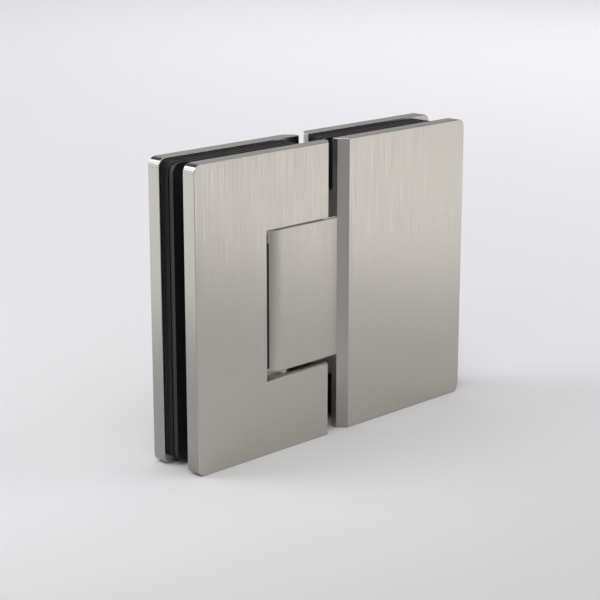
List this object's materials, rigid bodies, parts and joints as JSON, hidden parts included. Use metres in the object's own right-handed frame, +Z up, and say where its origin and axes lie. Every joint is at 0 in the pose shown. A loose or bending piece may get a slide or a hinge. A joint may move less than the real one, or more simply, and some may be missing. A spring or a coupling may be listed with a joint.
{
  "type": "glass door hinge",
  "caption": "Brushed metal hinge for frameless glass doors: two clamp leaves joined by a knuckle that fills a notch and turns on an upright pin.",
  "frame": {"origin": "middle of the bottom edges: halfway across both leaves, halfway through the thickness", "axes": "+X from the fixed leaf to the door leaf, +Y from the front to the rear where the screws are, +Z up along the pivot"},
  "size_m": [0.114, 0.0194, 0.09],
  "materials": {
    "brushed_nickel": "vertically brushed nickel",
    "machined_steel": "turned and milled steel",
    "screw_steel": "plain stainless steel",
    "spring_steel": "drawn spring wire",
    "bush_steel": "plain polished steel",
    "gasket_rubber": "smooth black rubber",
    "liner_rubber": "smooth black rubber"
  },
  "bodies": {
    "fixed_leaf": {"fixed_front_plate": "brushed_nickel", "fixed_rear_plate": "brushed_nickel", "fixed_inner_gasket": "gasket_rubber", "fixed_outer_gasket": "gasket_rubber", "notch_liner": "liner_rubber", "lower_pin_block": "machined_steel", "upper_pin_block": "machined_steel", "pivot_pin": "machined_steel", "fixed_clamp_screw_1": "screw_steel", "fixed_clamp_screw_2": "screw_steel", "fixed_clamp_screw_3": "screw_steel", "fixed_clamp_screw_4": "screw_steel"},
    "door_leaf": {"door_front_plate": "brushed_nickel", "door_rear_plate": "brushed_nickel", "door_inner_gasket": "gasket_rubber", "door_outer_gasket": "gasket_rubber", "knuckle_body": "brushed_nickel", "lower_bush": "bush_steel", "upper_bush": "bush_steel", "lower_plunger": "machined_steel", "upper_plunger": "machined_steel", "lower_spring": "spring_steel", "upper_spring": "spring_steel", "lower_spring_screw": "screw_steel", "upper_spring_screw": "screw_steel", "door_clamp_screw_1": "screw_steel", "door_clamp_screw_2": "screw_steel", "door_clamp_screw_3": "screw_steel", "door_clamp_screw_4": "screw_steel"}
  },
  "joints": [
    {"name": "door_swing", "type": "hinge", "parent": "fixed_leaf", "child": "door_leaf", "pos_m": [-0.0205, 0, 0.045], "axis": [0, 0, 1], "range_deg": [-90, 90]}
  ]
}
